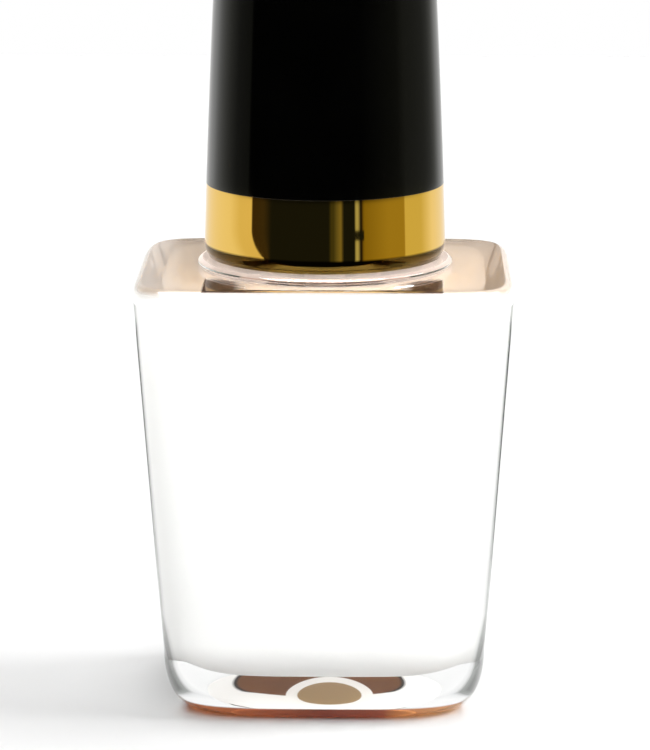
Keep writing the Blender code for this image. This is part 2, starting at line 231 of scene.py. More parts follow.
# Painted refraction: the lowest strip of the glass carries the film's brown, darkest in the middle.
PAINTED_FOOT_Z = 1.25 * MM
PAINTED_FOOT_FADE = 0.15 * MM
PAINTED_FOOT_X = 12.9 * MM
PAINTED_FOOT_END = 0.5 * MM
PAINTED_FOOT_COLOURS = [
    (0.0, (0.16, 0.014, 0.0012)),
    (0.3, (0.08, 0.004, 0.0004)),
    (0.5, (0.03, 0.001, 0.0002)),
    (0.72, (0.05, 0.002, 0.0003)),
    (0.78, (0.23, 0.028, 0.0025)),
    (1.0, (0.35, 0.08, 0.012)),
]

# Marks on the film: half sizes and centres of its ellipses.
OVAL = (2.95 * MM, 3.9 * MM)
OVAL_AT = (0.45 * MM, 1.15 * MM)
FIELD = (12.0 * MM, 13.8 * MM)
FIELD_AT = (-0.45 * MM, 14.2 * MM)
FIELD_ENDS = (7.5 * MM, 5.4 * MM)
FIELD_ENDS_AT = (-0.45 * MM, 5.2 * MM)
PRINT_BROWNS = ((0.15, 0.058, 0.02), (0.185, 0.075, 0.028))
# Painted bounce light: the lacquer's tan where the film lights it, in the oval.
PAINTED_BOUNCE_TAN = (0.38, 0.26, 0.137)
PRINT_PALE = (0.98, 0.97, 0.95)
# Painted shade: the dark outline round the field's ends.
PAINTED_OUTLINE_SHADE = (0.03, 0.025, 0.02)
FILM_SIDE_Z = (RECESS_Z - 0.12 * MM, RECESS_Z - 0.08 * MM)

# Gold and bristles.
# Painted shade: the collar's curled lower edge darkened to brown.
CURL_SHADE = (0.09, 0.06, 0.012)
CURL_SHADE_START = 0.85
BRISTLE_STREAKS = (3, 3, 0.12)
BRISTLE_WETNESS = (0.36, -0.02)
BRISTLE_COLOURS = [
    (0.52, (0.012, 0.012, 0.013)),
    (0.66, (0.3, 0.29, 0.28)),
    (0.8, (0.88, 0.87, 0.84)),
]

# Floor, and the table top as mirrors see it.
FLOOR_HALF = 0.45
FLOOR_GREY = 0.83
TABLE_RADIUS = 22 * MM
TABLE_CARD_Z = 0.3 * MM
TABLE_EDGE_Y = -66 * MM
TABLE_EDGE_FADE = 2 * MM
TABLE_BEHIND = (0.4, 0.6)
TABLE_DARK = 0.015

# Studio cards round the bottle: (azimuth in degrees from the front, colour), to the right positive.
REFLECTOR_RADIUS = 160 * MM
REFLECTOR_Z = (-2 * MM, 125 * MM)
REFLECTOR_SIDES = 96
BLACK = (0.01, 0.012, 0.012)
BRONZE = (0.25, 0.19, 0.02)
AMBER = (0.38, 0.30, 0.05)
WARM = (0.70, 0.65, 0.30)
WHITE = (1.0, 1.0, 1.0)
COLLAR_CARDS = [
    (-180, WHITE),
    (-100, (0.95, 0.94, 0.84)),
    (-86, (0.81, 0.75, 0.48)),
    (-71.6, (0.83, 0.76, 0.48)),
    (-71.2, (0.045, 0.03, 0.01)),
    (-58, (0.045, 0.035, 0.018)),
    (-50, BLACK),
    (5, BLACK),
    (6.5, (0.06, 0.06, 0.02)),
    (9, (0.05, 0.05, 0.02)),
    (10.5, (0.1, 0.1, 0.04)),
    (15.5, (0.22, 0.2, 0.08)),
    (17.5, BLACK),
    (28.4, BLACK),
    (29.8, (0.5, 0.54, 0.4)),
    (31.8, (0.5, 0.54, 0.4)),
    (33, BLACK),
    (35.5, (0.03, 0.02, 0.01)),
    (37, BRONZE),
    (62, AMBER),
    (81, AMBER),
    (81.4, WARM),
    (103, WARM),
    (122, (0.98, 0.97, 0.9)),
    (180, WHITE),
]
CAP_CARDS = [
    (-180, WHITE),
    (-134, (0.95, 0.95, 0.93)),
    (-124, (0.66, 0.66, 0.63)),
    (-115, (0.48, 0.48, 0.44)),
    (-105, (0.3, 0.3, 0.26)),
    (-92, (0.13, 0.13, 0.11)),
    (-76, (0.09, 0.09, 0.07)),
    (-74, (0.0, 0.0, 0.0)),
    (35, (0.0, 0.0, 0.0)),
    (74, (0.07, 0.07, 0.05)),
    (84, (0.16, 0.16, 0.12)),
    (112, (0.17, 0.17, 0.14)),
    (122, (0.23, 0.23, 0.2)),
    (131, (0.38, 0.38, 0.34)),
    (143, (0.8, 0.8, 0.77)),
    (180, WHITE),
]

# Border between the collar's cards and the cap's, a flare at the foot of the left dark card and a
# gap in the thin light card (heights from the border), and a dark patch right behind the bottle.
BORDER_Z = 21.5 * MM
BORDER_RISE = 10.6 * MM
BORDER_FADE = 0.5 * MM
FLARE = math.radians(14)
FLARE_HEIGHTS = (-6.0 * MM, -11.5 * MM)
FLARE_SHARES = (0.34, 0.36)
GAP_HEIGHTS = (-7.7 * MM, -5.8 * MM)
GAP_HEIGHT_FADE = 0.2 * MM
GAP_SHARES = (0.56, 0.602)
GAP_SHARE_FADE = 0.003
PATCH_AZIMUTHS = (math.radians(170), math.radians(172))
PATCH_Z = (48 * MM, 52 * MM)

# World: brightness overhead, behind and in front, and where these end in a direction's z and y.
WORLD_TOP = 0.22
WORLD_BACK = 0.75
WORLD_FRONT = 0.3
WORLD_TOP_FROM = (0.35, 0.5)
WORLD_BACK_FROM = (0.3, 0.75)

# Lamps: azimuth in degrees from the front, to the right positive, then elevation in degrees.
# Area lamps go on with distance, size and power, and suns with strength.
LAMP_TARGET_Z = 0.03
FRONT_TOP = (0, 48, 0.9, (0.9, 0.6), 2.3)
BACK_TOP = (180, 62, 1.3, (1.4, 0.8), 9.9)
RIM = (0, 58, 0.3, (0.5, 0.36), 12)
KEY = (95, 36, 2.6)
KEY_SPREAD = math.radians(36)
LACQUER_SUNS = {
    "lacquer_top": (0, 85, 1.34),
    "lacquer_front": (0, 5, 0.27),
    "lacquer_left": (-75, 0, 0.74),
    "lacquer_right": (90, 0, 0.27),
    "lacquer_back": (180, 0, 0.8),
    "lacquer_below": (0, -90, 0.27),
}
LACQUER_SPREAD = 0.2

# Camera.
LENS = 179.5
CAMERA_AZIMUTH = 1.0
CAMERA_ELEVATION = 12.25
CAMERA_DISTANCE = 339 * MM
CAMERA_TARGET_Z = 29.25 * MM
CAMERA_CLIP = (0.01, 10)

# ---- mesh helpers

def blend(low, high, share):
    """Numbers between two tuples of numbers."""
    return tuple(a + (b - a) * share for a, b in zip(low, high))


def inset(size, amount):
    """A section pulled in on all sides."""
    return (size[0] - amount, size[1] - amount, size[2])


def quarter_turns(steps):
    """Angles from 0 to a quarter turn."""
    return [math.pi / 2 * step / steps for step in range(steps + 1)]


def section_point(size, angle):
    """Point at a polar angle on a superellipse of (half width, half depth, squareness)."""
    half_width, half_depth, squareness = size
    across, along = math.cos(angle), math.sin(angle)
    reach = abs(across / half_width) ** squareness + abs(along / half_depth) ** squareness
    radius = reach ** (-1 / squareness)
    return radius * across, radius * along


def ring(size, z, swell=None):
    """One closed ring of points; swell(angle, z) adds to its radius."""
    points = []
    for index in range(RING_POINTS):
        angle = TAU * index / RING_POINTS
        x, y = section_point(size, angle)
        if swell:
            grow = swell(angle, z)
            x += grow * math.cos(angle)
            y += grow * math.sin(angle)
        points.append(Vector((x, y, z)))
    return points


def round_size(radius):
    """The section of a round piece."""
    return (radius, radius, 2.0)


def rounded_path(corners):
    """Stations (size, z) along a path of corners (size, z, cut before, cut after).
    Each corner with a cut is replaced by a quarter-ellipse-like arc between its two legs.
    The path's last corner is followed by its first."""
    stations = []
    for index, (size, z, before, after) in enumerate(corners):
        here = (*size, z)
        if not before and not after:
            stations.append(here)
            continue
        start = along_leg(here, corners[index - 1], before)
        end = along_leg(here, corners[(index + 1) % len(corners)], after)
        stations += holding_station(here, corners[index - 1], before)
        for turn in quarter_turns(ARC_STEPS):
            near, far = 1 - math.sin(turn), 1 - math.cos(turn)
            stations.append(
                tuple(h + (s - h) * near + (e - h) * far for h, s, e in zip(here, start, end))
            )
        stations += holding_station(here, corners[(index + 1) % len(corners)], after)
    return [(station[:3], station[3]) for station in stations]


def leg_length(here, other):
    """Length of the leg from a station to a corner."""
    return math.hypot(other[0][0] - here[0], other[1] - here[3])


def along_leg(here, other, distance):
    """Station on the leg from here to another corner, or the other corner if that is nearer."""
    there = (*other[0], other[1])
    share = min(1.0, distance / leg_length(here, other))
    return tuple(h + (t - h) * share for h, t in zip(here, there))


def holding_station(here, other, cut):
    """Station just beyond a rounded corner, which keeps the straight leg's shading straight."""
    if leg_length(here, other) < HOLDING_MIN_LEG * cut:
        return []
    return [along_leg(here, other, HOLDING_DISTANCE * cut)]


def densify(stations, spacing):
    """Adds stations on straight stretches, so that no step in height is above the spacing."""
    dense = [stations[0]]
    for size, z in stations[1:]:
        last_size, last_z = dense[-1]
        pieces = max(1, math.ceil(abs(z - last_z) / spacing))
        for piece in range(1, pieces + 1):
            share = piece / pieces
            dense.append((blend(last_size, size, share), last_z + (z - last_z) * share))
    return dense


def skin(name, rings, sharp_angle=SHARP_ANGLE):
    """Closed mesh through rings of equally many points. A ring of one point closes a pole, and
    a last ring that is also the first one closes a loop."""
    shape = bmesh.new()
    rows = [[shape.verts.new(point) for point in points] for points in rings[:-1]]
    looped = rings[-1] is rings[0]
    rows.append(rows[0] if looped else [shape.verts.new(point) for point in rings[-1]])
    for low, high in zip(rows, rows[1:]):
        count = max(len(low), len(high))
        for index in range(count):
            after = (index + 1) % count
            if len(low) == 1:
                shape.faces.new((low[0], high[after], high[index]))
            elif len(high) == 1:
                shape.faces.new((low[index], low[after], high[0]))
            else:
                shape.faces.new((low[index], low[after], high[after], high[index]))
    return smooth_object(name, shape, sharp_angle)


def smooth_object(name, shape, sharp_angle):
    """Object from a bmesh, shaded smooth but for edges over the angle."""
    bmesh.ops.recalc_face_normals(shape, faces=shape.faces)
    mesh = bpy.data.meshes.new(name)
    shape.to_mesh(mesh)
    shape.free()
    mesh.shade_smooth()
    if sharp_angle:
        mesh.set_sharp_from_angle(angle=sharp_angle)
    obj = bpy.data.objects.new(name, mesh)
    bpy.context.scene.collection.objects.link(obj)
    return obj


def pole(z):
    """A ring of one point, on the axis."""
    return [Vector((0, 0, z))]


def thread_swell(radius_sign, start_z):
    """Radius change of a right-handed screw thread that fades in and out at its ends."""

    def swell(angle, z):
        turns_up = (z - start_z) / PITCH - angle / TAU
        turn = round(turns_up)
        travelled = turn + angle / TAU
        offset = abs(turns_up - turn) * PITCH
        flank = smooth_share((THREAD_ROOT - offset) / (THREAD_ROOT - THREAD_CREST))
        fade = smooth_share(travelled / THREAD_FADE)
        fade *= smooth_share((THREAD_TURNS - travelled) / THREAD_FADE)
        return radius_sign * THREAD_HEIGHT * flank * fade

    return swell


def smooth_share(value):
    """The value clamped to 0 and 1, eased at both ends."""
    value = max(0.0, min(1.0, value))
    return value * value * (3 - 2 * value)


def turned(name, corners):
    """Closed turned mesh from corners (radius, z, cut). A profile that starts on the axis ends
    there too, and any other one closes on itself."""
    path = rounded_path([(round_size(r), z, cut, cut) for r, z, cut in corners])
    rings = [ring(size, z) if size[0] > 0 else pole(z) for size, z in path]
    if corners[0][0] > 0:
        rings.append(rings[0])
    return skin(name, rings, TURNED_SHARP_ANGLE)


def place(obj, body, material, node):
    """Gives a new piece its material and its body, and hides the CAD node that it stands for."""
    obj.data.materials.append(material)
    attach(obj, body)
    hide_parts(node)
    return obj


# ---- materials

def new_material(name):
    """A material with its tree and its Principled shader."""
    material = bpy.data.materials.new(name)
    material.use_nodes = True
    return material, material.node_tree, material.node_tree.nodes["Principled BSDF"]


def object_axes(tree):
    """The object's own x, y and z."""
    position = tree.nodes.new("ShaderNodeTexCoord")
    split = tree.nodes.new("ShaderNodeSeparateXYZ")
    tree.links.new(position.outputs["Object"], split.inputs["Vector"])
    return split.outputs["X"], split.outputs["Y"], split.outputs["Z"]


def noise_value(tree, scale, stretch=None):
    """Noise over the object, whose grain can be stretched along the axes."""
    position = tree.nodes.new("ShaderNodeTexCoord")
    place_socket = position.outputs["Object"]
    noise = tree.nodes.new("ShaderNodeTexNoise")
    noise.inputs["Scale"].default_value = scale
    noise.inputs["Detail"].default_value = NOISE_DETAIL
    noise.inputs["Roughness"].default_value = NOISE_ROUGHNESS
    if stretch:
        mapping = tree.nodes.new("ShaderNodeMapping")
        mapping.inputs["Scale"].default_value = stretch
        tree.links.new(place_socket, mapping.inputs["Vector"])
        place_socket = mapping.outputs["Vector"]
    tree.links.new(place_socket, noise.inputs["Vector"])
    return noise.outputs["Fac"]


def ramp_colour(tree, source, stops):
    """Colour that changes along stops of (position, colour)."""
    ramp = tree.nodes.new("ShaderNodeValToRGB")
    while len(ramp.color_ramp.elements) < len(stops):
        ramp.color_ramp.elements.new(0.5)
    for element, (position, colour) in zip(ramp.color_ramp.elements, stops):
        element.position = position
        element.color = (*colour, 1.0)
    tree.links.new(source, ramp.inputs["Fac"])
    return ramp.outputs["Color"]


def mapped(tree, source, low, high, to_low, to_high):
    """Value that runs from to_low to to_high while the source runs from low to high."""
    node = tree.nodes.new("ShaderNodeMapRange")
    node.inputs["From Min"].default_value = low
    node.inputs["From Max"].default_value = high
    node.inputs["To Min"].default_value = to_low
    node.inputs["To Max"].default_value = to_high
    tree.links.new(source, node.inputs["Value"])
    return node.outputs["Result"]


def rise(tree, source, low, high):
    """Mask that is 0 below low and 1 above high."""
    return mapped(tree, source, low, high, 0, 1)


def fall(tree, source, low, high):
    """Mask that is 1 below low and 0 above high."""
    return mapped(tree, source, low, high, 1, 0)


def math_node(tree, operation, *values):
    """Result of a math operation on sockets and numbers."""
    node = tree.nodes.new("ShaderNodeMath")
    node.operation = operation
    for socket, value in zip(node.inputs, values):
        if isinstance(value, (int, float)):
            socket.default_value = value
        else:
            tree.links.new(value, socket)
    return node.outputs[0]


def product(tree, first, *others):
    """Product of several masks."""
    for other in others:
        first = math_node(tree, "MULTIPLY", first, other)
    return first


def mix_colours(tree, share, under, over):
    """Lays a colour (a socket or an RGB tuple) over another, by a share from 0 to 1."""
    mix = tree.nodes.new("ShaderNodeMix")
    mix.data_type = "RGBA"
    tree.links.new(share, mix.inputs[0])
    for socket, colour in ((mix.inputs[6], under), (mix.inputs[7], over)):
        if isinstance(colour, tuple):
            socket.default_value = (*colour, 1)
        else:
            tree.links.new(colour, socket)
    return mix.outputs[2]


def grain_colour(tree, grain, dark, light):
    """Colour that drifts between two shades with a noise."""
    return ramp_colour(tree, grain, [(NOISE_LOW, dark), (NOISE_HIGH, light)])


def grain_roughness(tree, grain, roughness, shader):
    """Roughness that drifts between two values with a noise."""
    rough = mapped(tree, grain, NOISE_LOW, NOISE_HIGH, *roughness)
    tree.links.new(rough, shader.inputs["Roughness"])


def bump_from(tree, source, strength, distance, shader):
    """Fine relief on the shader's normal."""
    bump = tree.nodes.new("ShaderNodeBump")
    bump.inputs["Strength"].default_value = strength
    bump.inputs["Distance"].default_value = distance
    tree.links.new(source, bump.inputs["Height"])
    tree.links.new(bump.outputs["Normal"], shader.inputs["Normal"])


def grained_material(name, dark, light, scale, roughness, bump, metallic=0.0):
    """Surface whose colour and roughness drift a little with a noise, and whose bump is fine."""
    material, tree, shader = new_material(name)
    grain = noise_value(tree, scale)
    tree.links.new(grain_colour(tree, grain, dark, light), shader.inputs["Base Color"])
    grain_roughness(tree, grain, roughness, shader)
    shader.inputs["Metallic"].default_value = metallic
    bump_from(tree, noise_value(tree, scale * FINE_GRAIN), bump, GRAIN_DEPTH, shader)
    return material


def painted_edge_shade(tree, z, slope, outside):
    """Painted shade on the upright faces where they are seen edge-on, wider near the heel."""
    edge = tree.nodes.new("ShaderNodeLayerWeight")
    edge.inputs["Blend"].default_value = 0.5
    upright = fall(tree, math_node(tree, "ABSOLUTE", slope), *UPRIGHT_SLOPES)
    near_heel = mapped(tree, z, *HEEL_SHADE_Z, HEEL_SHADE, 0)
    grazing = math_node(tree, "ADD", edge.outputs["Facing"], near_heel)
    below_edge = fall(tree, z, WALL_TOP_Z - EDGE_END_FADE, WALL_TOP_Z)
    return ramp_colour(tree, product(tree, grazing, upright, outside, below_edge), GLASS_EDGE_SHADE)


def seat_mask(tree, z, radius, high, outside):
    """The round seat's side wall."""
    seat = product(tree, fall(tree, z, *SEAT_CAST_Z), fall(tree, radius, *SEAT_CAST_REACH))
    return product(tree, seat, high, outside, rise(tree, z, *FLAT_TOP_Z))


def painted_wedge_mask(tree, y, radius, from_middle):
    """Painted shade: dark wedges in front of the seat's sides, and the line along the shoulder's front
    edge.
    """
    beyond = rise(tree, radius, *WEDGE_REACH)
    ahead = fall(tree, y, -WEDGE_Y - WEDGE_FADE, -WEDGE_Y)
    wide = rise(tree, from_middle, WEDGE_X[0] - WEDGE_FADE, WEDGE_X[0])
    line = fall(tree, y, -LINE_Y - LINE_FADE, -LINE_Y)
    within = fall(tree, from_middle, WEDGE_X[1] - WEDGE_END_FADE, WEDGE_X[1])
    marked = math_node(tree, "MAXIMUM", product(tree, beyond, ahead, wide), line)
    return product(tree, marked, within)


def painted_foot_mask(tree, z, from_middle, outside):
    """Where the film's colour is painted on as refraction: the lowest strip of the glass, short of its
    two ends.
    """
    low = fall(tree, z, PAINTED_FOOT_Z - PAINTED_FOOT_FADE, PAINTED_FOOT_Z)
    within = fall(tree, from_middle, PAINTED_FOOT_X - PAINTED_FOOT_END, PAINTED_FOOT_X)
    return product(tree, low, within, outside)


def glass_material():
    """Clear glass: painted shade darkens its upright faces where they are seen edge-on, its shoulder is
    cloudy with a warm cast, painted shade marks wedges by the seat and a line along the shoulder's front,
    and its foot carries a painted refraction of the film's colour. All of it is on the outside only."""
    material, tree, shader = new_material("clear_glass")
    surface = tree.nodes.new("ShaderNodeNewGeometry")
    normal = tree.nodes.new("ShaderNodeSeparateXYZ")
    tree.links.new(surface.outputs["Normal"], normal.inputs["Vector"])
    slope = normal.outputs["Z"]
    outside = math_node(tree, "SUBTRACT", 1.0, surface.outputs["Backfacing"])
    x, y, z = object_axes(tree)
    from_middle = math_node(tree, "ABSOLUTE", x)
    radius_squared = math_node(tree, "MULTIPLY_ADD", x, x, product(tree, y, y))
    radius = math_node(tree, "SQRT", radius_squared)

    high = rise(tree, z, *SHOULDER_CAST_Z)
    warm = product(tree, rise(tree, slope, *LEVEL_SLOPES), high, outside)
    seat = seat_mask(tree, z, radius, high, outside)
    # Painted shade of the wedges and of the front line.
    brown = product(tree, painted_wedge_mask(tree, y, radius, from_middle), warm)
    across = rise(tree, x, -FOOT[0], FOOT[0])
    # Painted shade at the edges and the heel.
    tint = painted_edge_shade(tree, z, slope, outside)
    tint = mix_colours(tree, warm, tint, SHOULDER_CAST)
    tint = mix_colours(tree, seat, tint, SEAT_CAST)
    tint = mix_colours(tree, brown, tint, WEDGE_SHADE)
    # Painted refraction of the film's colour along the foot.
    foot = painted_foot_mask(tree, z, from_middle, outside)
    tint = mix_colours(tree, foot, tint, ramp_colour(tree, across, PAINTED_FOOT_COLOURS))
    tree.links.new(tint, shader.inputs["Base Color"])

    cloudy = product(tree, warm, fall(tree, z, *FLAT_TOP_Z))
    clarity = math_node(tree, "MULTIPLY_ADD", cloudy, -SHOULDER_CLOUD, 1.0)
    tree.links.new(clarity, shader.inputs["Transmission Weight"])
    shader.inputs["Roughness"].default_value = 0.0
    shader.inputs["IOR"].default_value = GLASS_IOR
    return material


def lacquer_material():
    """Milky white liquid."""
    material, tree, shader = new_material("white_lacquer")
    white = grain_colour(tree, noise_value(tree, 60), (0.86, 0.86, 0.85), (0.88, 0.88, 0.87))
    tree.links.new(white, shader.inputs["Base Color"])
    shader.inputs["Roughness"].default_value = 0.5
    shader.inputs["Specular IOR Level"].default_value = 0.0
    return material


def ellipse_distance(tree, x, y, centre, size):
    """1 on an ellipse's outline, less inside it."""
    across = math_node(tree, "DIVIDE", math_node(tree, "SUBTRACT", x, centre[0]), size[0])
    along = math_node(tree, "DIVIDE", math_node(tree, "SUBTRACT", y, centre[1]), size[1])
    across = product(tree, across, across)
    return math_node(tree, "SQRT", math_node(tree, "MULTIPLY_ADD", along, along, across))


def label_material():
    """Film seen down through the glass, printed with a brown field. Round the field's ends lie a dark
    outline of painted shade and a pale border; a tan oval of painted bounce light, the film's brown on
    the lacquer, sits in a pale ring."""
    material, tree, shader = new_material("label_paper")
    x, y, z = object_axes(tree)
    oval = ellipse_distance(tree, x, y, OVAL_AT, OVAL)
    field = ellipse_distance(tree, x, y, FIELD_AT, FIELD)
    field_ends = ellipse_distance(tree, x, y, FIELD_ENDS_AT, FIELD_ENDS)
    grain = noise_value(tree, 500)
    colour = grain_colour(tree, grain, *PRINT_BROWNS)
    # The outline is painted shade and the tan oval painted bounce light; the brown field is the film's
    # print.
    layers = [
        (rise(tree, field_ends, 0.93, 0.96), PAINTED_OUTLINE_SHADE),
        (rise(tree, field_ends, 0.97, 1.0), PRINT_PALE),
        (rise(tree, field, 0.985, 1.0), PRINT_PALE),
        (fall(tree, oval, 1.32, 1.36), PRINT_PALE),
        (fall(tree, oval, 0.97, 1.01), PAINTED_BOUNCE_TAN),
        (fall(tree, z, *FILM_SIDE_Z), PRINT_PALE),
    ]
    for mask, paint in layers:
        colour = mix_colours(tree, mask, colour, paint)
    tree.links.new(colour, shader.inputs["Base Color"])
    grain_roughness(tree, grain, (0.4, 0.5), shader)
    shader.inputs["Specular IOR Level"].default_value = 0.0
    bump_from(tree, grain, 0.1, 0.02 * MM, shader)
    return material


def gold_material():
    """Mirror gold whose curled lower edge is darkened brown by painted shade."""
    material = grained_material(
        "polished_gold", (0.84, 0.545, 0.135), (0.88, 0.575, 0.15), 70, (0.02, 0.045), 0.01, metallic=1.0
    )
    tree = material.node_tree
    shader = tree.nodes["Principled BSDF"]
    gold = shader.inputs["Base Color"].links[0].from_socket
    z = object_axes(tree)[2]
    # Painted shade along the curl.
    curl = fall(tree, z, collar_low.z + CURL_SHADE_START * CURL_HEIGHT, collar_low.z + CURL_HEIGHT)
    tree.links.new(mix_colours(tree, curl, gold, CURL_SHADE), shader.inputs["Base Color"])
    return material


def bristle_material():
    """Dark nylon with lacquer clinging to it in streaks, more towards the tip."""
    material, tree, shader = new_material("bristle_nylon")
    z = object_axes(tree)[2]
    grain = noise_value(tree, 900, BRISTLE_STREAKS)
    height = mapped(tree, z, tuft_low.z, tuft_high.z, *BRISTLE_WETNESS)
    wet = math_node(tree, "ADD", grain, height)
    tree.links.new(ramp_colour(tree, wet, BRISTLE_COLOURS), shader.inputs["Base Color"])
    grain_roughness(tree, grain, (0.22, 0.35), shader)
    return material


# ---- pieces

def heel_stations():
    """The round from the foot up to the wall."""
    return [
        (blend(FOOT, WALL_LOW, math.sin(turn)), HEEL_Z * (1 - math.cos(turn)))
        for turn in quarter_turns(FINE_ARC_STEPS)
    ]


def wall_size(z):
    """The outer wall's section at a height."""
    return blend(WALL_LOW, WALL_HIGH, (z - HEEL_Z) / (WALL_TOP_Z - HEEL_Z))


def top_edge_stations():
    """The round from the wall up to the shoulder."""
    return [
        (
            blend(SHOULDER, WALL_HIGH, math.cos(turn)),
            WALL_TOP_Z + (SHOULDER_Z - WALL_TOP_Z) * math.sin(turn),
        )
        for turn in quarter_turns(FINE_ARC_STEPS)
    ]


def neck_stations():
    """From the shoulder over the seat, up the neck and down its bore to the cavity's ceiling."""
    seat_top = SHOULDER_Z + SEAT_HEIGHT
    neck_top = glass_high.z
    corners = [
        (SHOULDER, SHOULDER_Z, 0, 0),
        (round_size(SEAT_RADIUS - SEAT_TUCK), SHOULDER_Z, 0.1 * MM, 0.1 * MM),
        (round_size(SEAT_RADIUS), SHOULDER_Z + SEAT_TUCK, 0.2 * MM, 0.2 * MM),
        (round_size(SEAT_RADIUS - 0.1 * MM), seat_top, SEAT_ROUND, SEAT_ROUND),
        (round_size(NECK_RADIUS), seat_top, 0.4 * MM, 0.4 * MM),
        (round_size(NECK_RADIUS), BEAD_Z[0], 0, 0),
        (round_size(BEAD_RADIUS), sum(BEAD_Z) / 2, 0.3 * MM, 0.3 * MM),
        (round_size(NECK_RADIUS), BEAD_Z[1], 0, 0),
        (round_size(NECK_RADIUS), neck_top, 0.3 * MM, 0.3 * MM),
        (round_size(BORE_RADIUS), neck_top, 0.4 * MM, 0.4 * MM),
        (round_size(BORE_RADIUS), CEILING_Z + 1.0 * MM, 0, 0),
        (round_size(BORE_RADIUS + 1.0 * MM), CEILING_Z, 0, 0),
    ]
    return rounded_path(corners)[1:]


def cavity_stations(grow, top_z, top_round):
    """Cavity from the dimple's middle up to its ceiling's edge, grown by a small amount."""
    floor_z = FLOOR_Z - grow
    wall = WALL - grow
    low_z = floor_z + FLOOR_ROUND
    stations = [
        (round_size(reach * DIMPLE_RADIUS), floor_z - depth * DIMPLE_DEPTH)
        for reach, depth in DIMPLE_CURVE
    ]
    for turn in quarter_turns(FINE_ARC_STEPS):
        size = inset(wall_size(low_z), wall + FLOOR_ROUND * (1 - math.sin(turn)))
        stations.append((size, low_z - FLOOR_ROUND * math.cos(turn)))
    high_z = top_z - top_round
    for turn in quarter_turns(ARC_STEPS):
        size = inset(wall_size(high_z), wall + top_round * (1 - math.cos(turn)))
        stations.append((size, high_z + top_round * math.sin(turn)))
    return stations


def make_glass():
    """One skin: the recess, the foot, the wall, the shoulder, the neck, and the cavity inside."""
    base = rounded_path(
        [
            (inset(RECESS, 1.0 * MM), RECESS_Z, 0, 0),
            (RECESS, RECESS_Z, 0.12 * MM, 0.12 * MM),
            (RECESS, 0.0, 0.15 * MM, 0.15 * MM),
            (FOOT, 0.0, 0, 0),
        ]
    )[:-1]
    body = densify(base + heel_stations() + top_edge_stations(), WALL_STEP)
    neck = densify(neck_stations(), THREAD_RING_STEP)
    inside = cavity_stations(0, CEILING_Z, CEILING_ROUND)
    cavity = densify(inside[::-1], WALL_STEP)
    swell = thread_swell(1, THREAD_Z)
    rings = [pole(RECESS_Z)] + [ring(size, z) for size, z in body]
    for size, z in neck:
        on_neck = abs(size[0] - NECK_RADIUS) < SAME and z > BEAD_Z[1]
        rings.append(ring(size, z, swell if on_neck else None))
    rings += [ring(size, z) for size, z in cavity]
    rings.append(pole(FLOOR_Z - DIMPLE_DEPTH))
    glass = skin("bottle_glass", rings)
    return place(glass, "bottle", glass_material(), "glass_bottle")


def make_lacquer():
    """The liquid: it wets the glass all round, and stays clear of the immersed brush."""
    top = CEILING_Z + WETTING
    stations = densify(cavity_stations(WETTING, top, CEILING_ROUND), WALL_STEP)
    rings = [pole(FLOOR_Z - WETTING - DIMPLE_DEPTH)] + [ring(size, z) for size, z in stations]
    well = rounded_path(
        [
            (round_size(WELL_RADIUS + 1 * MM), top, 0, 0),
            (round_size(WELL_RADIUS), top, 0.3 * MM, 0.3 * MM),
            (round_size(WELL_RADIUS), WELL_FLOOR_Z, 0.5 * MM, 0.5 * MM),
            (round_size(0.3 * MM), WELL_FLOOR_Z, 0, 0),
        ]
    )
    rings += [ring(size, z) for size, z in well] + [pole(WELL_FLOOR_Z)]
    lacquer = skin("lacquer_fill", rings)
    return place(lacquer, "bottle", lacquer_material(), "lacquer")


def make_label():
    """Film that lines the recess, from its ceiling down its side wall."""
    outer = inset(RECESS, -WETTING)
    inner = inset(RECESS, LABEL_THICKNESS)
    top = RECESS_Z + WETTING
    path = rounded_path(
        [
            (inset(outer, 1 * MM), top, 0, 0),
            (outer, top, 0.08 * MM, 0.08 * MM),
            (outer, LABEL_LOW_Z, 0.05 * MM, 0.05 * MM),
            (inner, LABEL_LOW_Z, 0.05 * MM, 0.05 * MM),
            (inner, top - LABEL_THICKNESS, 0.1 * MM, 0.1 * MM),
            (inset(inner, 1 * MM), top - LABEL_THICKNESS, 0, 0),
        ]
    )
    rings = [pole(top)] + [ring(size, z) for size, z in path] + [pole(top - LABEL_THICKNESS)]
    label = skin("base_film", rings)
    return place(label, "bottle", label_material(), "base_label")


def cap_radius(z):
    """The overcap's side, from its step up; the taper grows slightly."""
    height = z - collar_high.z
    return CAP_BASE_RADIUS - CAP_TAPER * height - CAP_CURVATURE * height * height


def make_overcap():
    """Tapered shell with a slightly domed top, and a spigot that the collar hides."""
    top, base = cap_high.z, collar_high.z + CAP_STEP
    side_end = top - CAP_SIDE_END
    heights = [base + (side_end - base) * step / CAP_SIDE_STEPS for step in range(1, CAP_SIDE_STEPS)]
    corners = [
        (0.0, top, 0),
        (cap_radius(top) * CROWN_SHARE, top - CROWN_DROP, 0),
        (cap_radius(top), top - CAP_TOP_DROP, CAP_TOP_ROUND),
    ]
    corners += [(cap_radius(z), z, 0) for z in reversed(heights)]
    corners += [
        (cap_radius(base), base, 0.03 * MM),
        (SPIGOT_RADIUS, base, 0),
        (SPIGOT_RADIUS, cap_low.z, 0.2 * MM),
        (SPIGOT_RADIUS - CAP_WALL, cap_low.z, 0.2 * MM),
        (SPIGOT_RADIUS - CAP_WALL, inner_high.z, 0),
        (cap_radius(top) - CAP_WALL, top - CAP_WALL, 0),
        (0.0, top - CAP_WALL, 0),
    ]
    cap = turned("overcap_shell", corners)
    black = grained_material(
        "black_gloss", (0.0004, 0.0004, 0.0004), (0.001, 0.001, 0.0009), 120, (0.04, 0.07), 0.01
    )
    return place(cap, "cap", black, "overcap")


